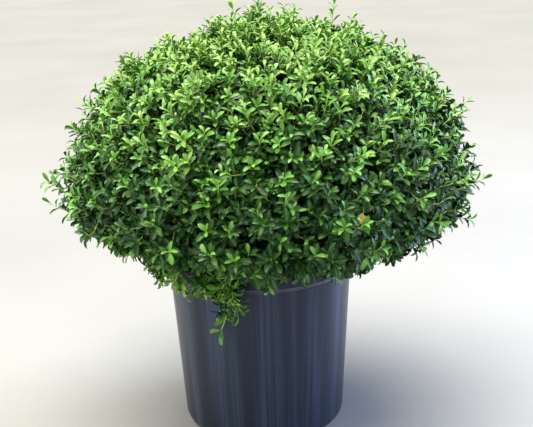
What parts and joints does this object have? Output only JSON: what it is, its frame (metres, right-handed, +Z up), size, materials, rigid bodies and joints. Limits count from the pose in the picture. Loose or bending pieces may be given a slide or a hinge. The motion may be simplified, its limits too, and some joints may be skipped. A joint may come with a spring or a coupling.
{
  "type": "potted japanese holly",
  "caption": "Evergreen shrub: a dense clipped dome of small leaves on a short stem, with one spray trailing over the rim of its round tapered nursery pot.",
  "frame": {"origin": "centre of the pot's flat underside, on the surface that it stands on", "axes": "+Z up along the pot's axis; the front, with the trailing spray, faces -Y; +X is to the right seen from the front"},
  "size_m": [0.6854, 0.627, 0.68],
  "materials": {
    "pot_plastic": "satin black moulded plastic, streaked",
    "potting_mix": "rough composted bark",
    "bark": "rough grey-brown bark",
    "leaves": "satin green leaf"
  },
  "bodies": {
    "root": {"pot": "pot_plastic", "potting_mix": "potting_mix", "stem": "bark", "bough_top": "bark", "bough_front": "bark", "bough_front_right": "bark", "bough_back_right": "bark", "bough_back": "bark", "bough_back_left": "bark", "bough_front_left": "bark", "bough_trailing": "bark", "foliage_top": "leaves", "foliage_front": "leaves", "foliage_front_right": "leaves", "foliage_back_right": "leaves", "foliage_back": "leaves", "foliage_back_left": "leaves", "foliage_front_left": "leaves", "foliage_trailing": "leaves"}
  },
  "joints": []
}
